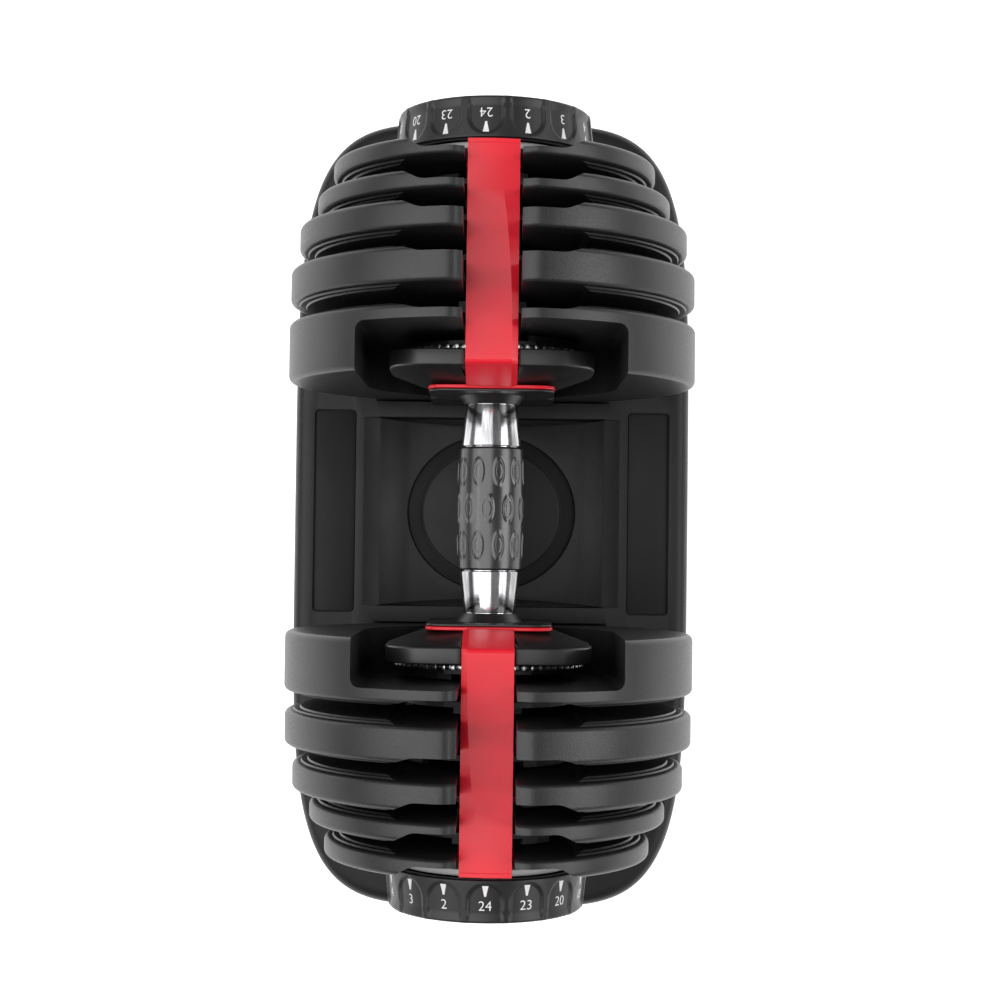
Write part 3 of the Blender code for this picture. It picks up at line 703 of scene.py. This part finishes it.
def make_end_plate():
    """Grey plate behind the dial, with the countersunk seat of its screw."""
    start, stop = span("end_plate_far", Y)
    radius = span("end_plate_far", Z)[1] - AXIS_Z
    bore = 11.6 * MM
    section = [(start, bore), (start, radius), (stop, radius), (stop, bore)]
    disc = turned(rounded(section, [0, 0.5 * MM, 0.8 * MM, 0], 4), 128, loop=True)
    seat, shank_r, head_r = 168.7 * MM, 2.3 * MM, 4 * MM
    hole = turned(
        [(start - MM, 0), (start - MM, shank_r), (seat, shank_r),
         (seat, head_r), (stop + MM, head_r), (stop + MM, 0)],
        48, centre=(0, END_SCREW_UP),
    )
    mesh = lifted(combine(disc, [hole]))
    both_ends("end_plate_skin", mesh, "grey", "handle", "end_plate")


# ---------------------------------------------------------------- the dial
DIAL_SCALLOP = 1.1 * MM
DIAL_OFFSETS = (-4.8, 0.0)       # degrees that the far and near dials sit off their marks


def dial_radius(y, start, stop, r_start, r_stop):
    """Radius of the plain dial: a slight taper and a rounded outer edge."""
    t = (y - start) / (stop - start)
    base = r_start + (r_stop - r_start) * t
    edge = 1.2 * MM
    inset = max(0.0, y - (stop - edge)) / edge
    base -= edge * (1 - math.sqrt(max(0.0, 1 - inset * inset)))
    lip = 0.8 * MM
    inset = max(0.0, start + lip - y) / lip
    return base - lip * (1 - math.sqrt(max(0.0, 1 - inset * inset)))


def scallop(angle, y, start, stop):
    """How deep the dial is cut for a number, at a clock angle in degrees."""
    local = (angle / STEP - round(angle / STEP)) * STEP
    head = start + 2.0 * MM
    length = 8.0 * MM
    if y < head:
        return 0.0
    t = min(1.0, (y - head) / length)
    half = 9.9 * math.sqrt(max(0.0, 1 - (1 - t) ** 2)) + 0.6 * (y - head) / (stop - head)
    fade = 1 - 0.75 * smooth((y - stop + 5.0 * MM) / (4.5 * MM))
    return DIAL_SCALLOP * fade * smooth((half - abs(local)) / 1.1)


def make_dial():
    """Numbered dial: scalloped rim, dished face and hollow back."""
    start, stop = span("dial_far", Y)
    r_start = span("dial_far", X)[1] + 0.8 * MM
    r_stop = 46.8 * MM
    around, along = 450, 44
    shape = bmesh.new()
    rings = []
    angles = [2 * math.pi * j / around for j in range(around)]
    for i in range(along + 1):
        t = i / along
        y = start + (stop - start) * (1 - (1 - t) ** 1.15)
        plain = dial_radius(y, start, stop, r_start, r_stop)
        ring = []
        for a in angles:
            r = plain - scallop(math.degrees(a), y, start, stop)
            ring.append(shape.verts.new((-r * math.sin(a), y, r * math.cos(a))))
        rings.append(ring)
    recess = 188.0 * MM
    floor = 184.4 * MM
    inside = rounded(
        [(stop, 42.0 * MM), (stop, 36.5 * MM), (stop - 1.6 * MM, 34.5 * MM), (stop - 1.6 * MM, 16.5 * MM),
         (stop, 14.8 * MM), (stop, 9.3 * MM), (recess, 9.3 * MM), (recess, 7.4 * MM), (floor, 7.4 * MM),
         (floor, 11.3 * MM), (start, 11.3 * MM), (start, 14.5 * MM), (186.0 * MM, 14.5 * MM),
         (186.6 * MM, 40.5 * MM), (start, 44.6 * MM)],
        [0, 0.8 * MM, 0.8 * MM, 0.8 * MM, 0.8 * MM, 0.4 * MM, 0, 0, 0, 0, 0, 0, 0, 0, 0], 3,
    )
    for y, r in inside:
        rings.append([shape.verts.new((-r * math.sin(a), y, r * math.cos(a))) for a in angles])
    skin(shape, rings, loop=True)
    place_dial("dial_skin", to_mesh(shape), "dial", ["dial"])

    marks = []
    half = 2.5 * MM
    wedge = [(-0.4 * MM, -half), (0.4 * MM, -half), (1.5 * MM, half), (-1.5 * MM, half)]
    dial = (start, stop, r_start, r_stop)
    for index, value in enumerate(SETTINGS):
        angle = (len(SETTINGS) - 1 - index) * STEP
        marks.append(wrapped(number_mesh(str(value)), angle, start + 12.5 * MM, dial))
        marks.append(wrapped(prism(wedge, 0, 1, "Z"), angle, start + 5.4 * MM, dial))
    place_dial("dial_numbers", joined(*marks), "ink", [])


def place_dial(name, mesh, finish, nodes):
    """The far dial sits a little anticlockwise of its mark, the near one on it."""
    for (end, turn), offset in zip(ENDS, DIAL_OFFSETS):
        placed = mesh.copy()
        placed.transform(Matrix.Rotation(math.radians(offset), 4, "Y"))
        replaced = [f"{node}_{end}" for node in nodes]
        body = f"selector_{end}"
        show(f"{name}_{end}", lifted(placed), finish, body, replaced, turn, 50.0)


def number_mesh(text):
    """Flat digits, centred, as a closed slab one unit thick."""
    curve = bpy.data.curves.new("digits", "FONT")
    curve.body = text
    curve.size = 6.5 * MM
    curve.align_x = "CENTER"
    curve.align_y = "CENTER"
    curve.offset = -0.05 * MM
    curve.resolution_u = 4
    curve.extrude = 0.5
    thing = bpy.data.objects.new("digits", curve)
    bpy.context.scene.collection.objects.link(thing)
    mesh = evaluated(thing)
    bpy.data.objects.remove(thing, do_unlink=True)
    mesh.transform(Matrix.Translation((0, 0, 0.5)))
    return mesh


def wrapped(mesh, angle, middle, dial):
    """Lay a slab on the dial: its x runs round the rim, its y towards the plates."""
    thick = 0.16 * MM
    sunk = 0.10 * MM
    for vertex in mesh.vertices:
        x, y, z = vertex.co
        along = middle - y
        base = dial_radius(along, *dial) - DIAL_SCALLOP
        r = base - sunk + (thick if z > 0.5 else 0.0)
        turn = math.radians(angle) + x / base
        vertex.co = (-r * math.sin(turn), along, r * math.cos(turn))
    return mesh


def make_screws():
    """Socket screw in the dial, and the countersunk screw of the end plate."""
    start, stop = span("dial_screw_far", Y)
    head_r = span("dial_screw_far", X)[1]
    under, shank_r = 188.3 * MM, 3 * MM
    section = rounded(
        [(start, 0), (start, shank_r), (under, shank_r), (under, head_r), (stop, head_r), (stop, 0)],
        [0, 0, 0, 0.3 * MM, 0.8 * MM, 0], 4,
    )
    socket = prism(circle(3.6 * MM, 6), stop - 1.8 * MM, stop + MM)
    mesh = combine(turned(section, 96), [socket])
    both_ends("dial_screw_skin", lifted(mesh), "steel", "handle", "dial_screw")

    start, stop = span("end_plate_screw_far", Y)
    under, shank_r, head_r = 169 * MM, 1.9 * MM, 3.6 * MM
    section = rounded(
        [(start, 0), (start, shank_r), (under, shank_r), (under, head_r), (stop, head_r), (stop, 0)],
        [0, 0, 0, 0, 0.5 * MM, 0], 3,
    )
    socket = prism(circle(1.6 * MM, 6), stop - 0.9 * MM, stop + MM)
    mesh = lifted(combine(turned(section, 48), [socket]), AXIS_Z + END_SCREW_UP)
    both_ends("end_plate_screw_skin", mesh, "steel", "handle", "end_plate_screw")


def make_spring():
    """Coil spring of the lock."""
    low, high = span("lock_spring_far", Z)
    x = sum(span("lock_spring_far", X)) / 2
    y = sum(span("lock_spring_far", Y)) / 2
    wire = 0.4 * MM
    coil_r = 2.5 * MM - wire
    turns, per_turn, sides = 8, 20, 8
    shape = bmesh.new()
    rings = []
    count = turns * per_turn
    for i in range(count + 1):
        angle = 2 * math.pi * i / per_turn
        z = low + wire + (high - low - 2 * wire) * i / count
        out = Vector((math.cos(angle), math.sin(angle), 0))
        ring = []
        for j in range(sides):
            a = 2 * math.pi * j / sides
            offset = out * (coil_r + wire * math.cos(a)) + Vector((0, 0, wire * math.sin(a)))
            ring.append(shape.verts.new(Vector((x, y, z)) + offset))
        rings.append(ring)
    skin(shape, rings)
    shape.faces.new(rings[0])
    shape.faces.new(rings[-1])
    mesh = to_mesh(shape)
    for end, turn in ENDS:
        placed = mesh.copy()
        placed.transform(Matrix.Rotation(turn, 4, "Z"))
        piece = show(f"coil_{end}", placed, "steel", None, [f"lock_spring_{end}"])
        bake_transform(piece)


# ---------------------------------------------------------------- the tray
def superellipse(half_x, half_y, count=240):
    """Outline (x, y) of the tray."""
    power = 2 / 4.8
    points = []
    for i in range(count):
        angle = 2 * math.pi * i / count
        c, s = math.cos(angle), math.sin(angle)
        x = math.copysign(abs(c) ** power, c)
        y = math.copysign(abs(s) ** power, s)
        points.append((half_x * x, half_y * y))
    return points


PANEL_X = (72.5 * MM, 94.0 * MM)
PANEL_END = 53.5 * MM
TROUGH_Z = 29.0 * MM
TROUGH_END = 50.0 * MM
BAY_PLAY = 1.0 * MM
RING_R = 45.3 * MM               # outer half-width of the badge's oval ring
RING_SQUEEZE = 0.93


def tray_shell():
    """Outside of the tray: skirt, bulge, rim bead and deck."""
    half_x, half_y = span("tray", X)[1], span("tray", Y)[1]
    deck = span("tray", Z)[1]
    levels = [
        (3.0, 6.5), (4.0, 5.0), (6.0, 3.2), (9.0, 1.6), (13.0, 0.5), (18.0, 0.0), (24.0, 0.0), (28.5, 0.35),
        (29.2, 0.9), (30.0, 0.6), (34.0, 1.1), (37.5, 2.0), (39.6, 3.1), (40.9, 4.5), (41.6, 6.0),
        (42.0, 8.0),
    ]
    rings = []
    for z, inset in levels:
        z = min(deck, z * MM)
        rings.append([(x, y, z) for x, y in superellipse(half_x - inset * MM, half_y - inset * MM)])
    return loft(rings)


def bay_cutter(turn):
    """Turned cutter for the five cradles of one end."""
    clear_r = 60 * MM
    profile = []
    for number in range(1, 6):
        node = f"plate_{number}_far"
        inner, outer = span(node, Y)
        radius = span(node, X)[1]
        if number > 1:
            inner += TAB_PROUD - 2 * LEDGE
        start, end = inner - BAY_PLAY, outer + LEDGE + BAY_PLAY
        profile.append((start, 0 if number == 1 else clear_r))
        profile += [(start, radius + BAY_PLAY), (end, radius + BAY_PLAY)]
        profile.append((end, 0 if number == 5 else clear_r))
    mesh = turned(profile, 160)
    mesh.transform(Matrix.Translation((0, 0, AXIS_Z)) @ Matrix.Rotation(turn, 4, "Z"))
    return mesh


def trough_cutter():
    """Hand space under the grip, with eased shoulders."""
    deck = span("tray", Z)[1]
    flat, edge = 44 * MM, 68.5 * MM
    steps = 18
    side = []
    for i in range(steps + 1):
        t = i / steps
        side.append((flat + (edge - flat) * t, TROUGH_Z + (deck + 0.3 * MM - TROUGH_Z) * t ** 1.6))
    top = deck + 10 * MM
    outline = side + [(edge, top), (-edge, top)] + [(-x, z) for x, z in reversed(side)]
    return prism(outline, -TROUGH_END, TROUGH_END)


def lens_cutter(sign):
    """Slot between the trough and its end wall, widest in the middle."""
    half, wide = 60 * MM, 3.6 * MM
    near = []
    for i in range(21):
        t = i / 10 - 1
        near.append((half * t, sign * (TROUGH_END - wide * (1 - t * t))))
    outline = near + [(half, sign * (TROUGH_END + 0.3 * MM)), (-half, sign * (TROUGH_END + 0.3 * MM))]
    return prism(outline, 22 * MM, 60 * MM, "Z")


def panel_outline(sign, grow):
    """Rounded rectangle of a side panel or its recess."""
    low, high, end = PANEL_X[0] - grow, PANEL_X[1] + grow, PANEL_END + grow
    corners = [(sign * low, -end), (sign * high, -end), (sign * high, end), (sign * low, end)]
    return rounded(corners, [2.2 * MM] * 4, 5, closed=True)


def make_tray():
    """The tray shell with its cradles, trough, recesses and slots."""
    deck = span("tray", Z)[1]
    cutters = [trough_cutter(), lens_cutter(1), lens_cutter(-1)]
    cutters += [bay_cutter(0), bay_cutter(math.pi)]
    for sign in (-1, 1):
        cutters.append(prism(panel_outline(sign, 0.35 * MM), deck - 2.5 * MM, deck + 10 * MM, "Z"))
    oval = [(x, y * RING_SQUEEZE) for x, y in circle(RING_R, 128)]
    cutters.append(prism(oval, 26.2 * MM, 34 * MM, "Z"))
    wall = 5 * MM
    inside = superellipse(span("tray", X)[1] - wall, span("tray", Y)[1] - wall, 128)
    hollow = prism(inside, -2 * MM, 17.5 * MM, "Z")
    pads = []
    for i in range(1, 5):
        x, y = sum(span(f"foot_{i}", X)) / 2, sum(span(f"foot_{i}", Y)) / 2
        pads.append(prism(circle(13 * MM, 48, (x, y)), -4 * MM, 22 * MM, "Z"))
    cutters.append(combine(hollow, pads))
    mesh = bevelled(combine(tray_shell(), cutters), 0.7 * MM, 3, 40.0)
    show("tray_skin", mesh, "tray", "tray", ["tray"], sharp=35)

    for side, sign in (("left", -1), ("right", 1)):
        low, high = span(f"side_panel_{side}", Z)
        mesh = bevelled(prism(panel_outline(sign, -0.1 * MM), low, high - 1.0 * MM, "Z"), 0.35 * MM, 2)
        show(f"inlay_{side}", mesh, "panel", "tray", [f"side_panel_{side}"])

    low, high = span("tray_badge", Z)
    radius = span("tray_badge", X)[1]
    groove_z = low - 0.2 * MM
    disc_section = [(low, 0), (low, radius), (high, radius), (high, 0)]
    ring_section = [(groove_z, radius + 1.2 * MM), (groove_z, RING_R - 0.3 * MM),
                    (groove_z + MM, RING_R - 0.3 * MM), (groove_z + MM, radius + 1.2 * MM)]
    disc = turned(rounded(disc_section, [0, 0, 0.6 * MM, 0], 4), 128)
    ring = turned(rounded(ring_section, [0, 0, 0.4 * MM, 0.4 * MM], 4), 128, loop=True)
    for mesh in (disc, ring):
        mesh.transform(Matrix.Diagonal((1, 1, RING_SQUEEZE, 1)))
        mesh.transform(Matrix.Rotation(math.pi / 2, 4, "X"))
    show("badge_skin", disc, "badge", "tray", ["tray_badge"])
    show("badge_ring", ring, "ring", "tray")

    for i in range(1, 5):
        x, y = sum(span(f"foot_{i}", X)) / 2, sum(span(f"foot_{i}", Y)) / 2
        height = span(f"foot_{i}", Z)[1]
        radius = span(f"foot_{i}", X)[1] - x
        section = rounded(
            [(0, 0), (0, 6 * MM), (0.5 * MM, 7 * MM), (0.5 * MM, 7.6 * MM),
             (0, 8.6 * MM), (0, radius), (height, radius), (height, 0)],
            [0, 0, 0, 0, 0, 0.7 * MM, 0.3 * MM, 0], 3,
        )
        foot = turned(section, 64)
        foot.transform(Matrix.Translation((x, y, 0)) @ Matrix.Rotation(math.pi / 2, 4, "X"))
        show(f"foot_skin_{i}", foot, "foot", "tray", [f"foot_{i}"])


def make_posts():
    """Release walls on the tray and the posts that lift the locks."""
    y0, _ = span("release_post_far", Y)
    z0, z1 = span("release_post_far", Z)
    half = span("release_post_far", X)[1]
    corners = [(-half, z0), (half, z0), (half, z1), (-half, z1)]
    wall = prism(rounded(corners, [0, 0, 5 * MM, 5 * MM], 6, closed=True), y0, y0 + 2.3 * MM)
    arm = block((-6 * MM, 6 * MM), (y0 + 1.3 * MM, 67 * MM), (46 * MM, 54 * MM))
    post = block((-5.8 * MM, 5.8 * MM), (62 * MM, 66.8 * MM), (48 * MM, 66.7 * MM))
    mesh = bevelled(combine(wall, [arm, post], "UNION"), 0.5 * MM, 3, 40.0)
    both_ends("post_skin", mesh, "tray", "tray", "release_post")


# ------------------------------------------------- kept CAD nodes, materials
def finish_kept_nodes():
    """Better materials on the CAD pieces whose shapes stay."""
    kept = {
        "centre_rod": "steel", "lock_slider": "dark steel", "detent_spring": "steel",
        "selector_hub": "dark steel", "selector_disc": "disc",
    }
    for name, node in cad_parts.items():
        for start, finish in kept.items():
            if name.startswith(start):
                for slot in node.material_slots:
                    slot.material = FINISH[finish]


# ------------------------------------------------------- camera and light
def add_area(name, size, place, power):
    """A soft box aimed at the handle."""
    data = bpy.data.lights.new(name, "AREA")
    data.shape = "RECTANGLE"
    data.size, data.size_y = size
    data.energy = power
    light = bpy.data.objects.new(name, data)
    bpy.context.scene.collection.objects.link(light)
    light.location = place
    aim = Vector((0, 0, AXIS_Z)) - Vector(place)
    light.rotation_euler = aim.to_track_quat("-Z", "Y").to_euler()


def make_stage():
    """Pale floor, soft studio light and the camera above the handle."""
    shape = bmesh.new()
    half = 14.0
    for x, y in ((-half, -half), (half, -half), (half, half), (-half, half)):
        shape.verts.new((x, y, 0))
    shape.faces.new(shape.verts)
    floor = bpy.data.objects.new("floor", to_mesh(shape))
    bpy.context.scene.collection.objects.link(floor)
    made, shader = new_material("floor", (0.70, 0.70, 0.70), 0.9)
    shader.inputs["Emission Color"].default_value = (1, 1, 1, 1)
    shader.inputs["Emission Strength"].default_value = 0.75
    floor.data.materials.append(made)

    world = bpy.data.worlds.new("studio")
    world.use_nodes = True
    back = world.node_tree.nodes["Background"]
    back.inputs["Color"].default_value = (1, 1, 1, 1)
    back.inputs["Strength"].default_value = 0.27
    bpy.context.scene.world = world

    add_area("left box", (1.8, 1.5), (-0.55, 0.0, 1.62), 20)
    add_area("left strip", (1.8, 0.8), (-1.31, 0.0, 1.04), 10)
    add_area("right strip", (1.8, 0.8), (1.31, 0.0, 1.04), 17)

    scene = bpy.context.scene
    scene.view_settings.view_transform = "Standard"
    data = bpy.data.cameras.new("camera")
    data.sensor_width = 36.0
    data.lens = 36.0 * 1.7815
    data.clip_start = 0.01
    camera = bpy.data.objects.new("camera", data)
    scene.collection.objects.link(camera)
    tilt, roll = 0.028, math.radians(0.7)
    camera.matrix_world = (
        Matrix.Translation((0.0046, -0.0199, 0.9883))
        @ Matrix.Rotation(tilt, 4, "X")
        @ Matrix.Rotation(roll, 4, "Z")
    )
    scene.camera = camera


make_stage()
for NUMBER in range(1, 6):
    make_plate(NUMBER)
make_grip()
make_tube()
make_collar()
make_bracket()
make_housing()
make_wheel()
make_end_plate()
make_dial()
make_screws()
make_spring()
make_tray()
make_posts()
finish_kept_nodes()
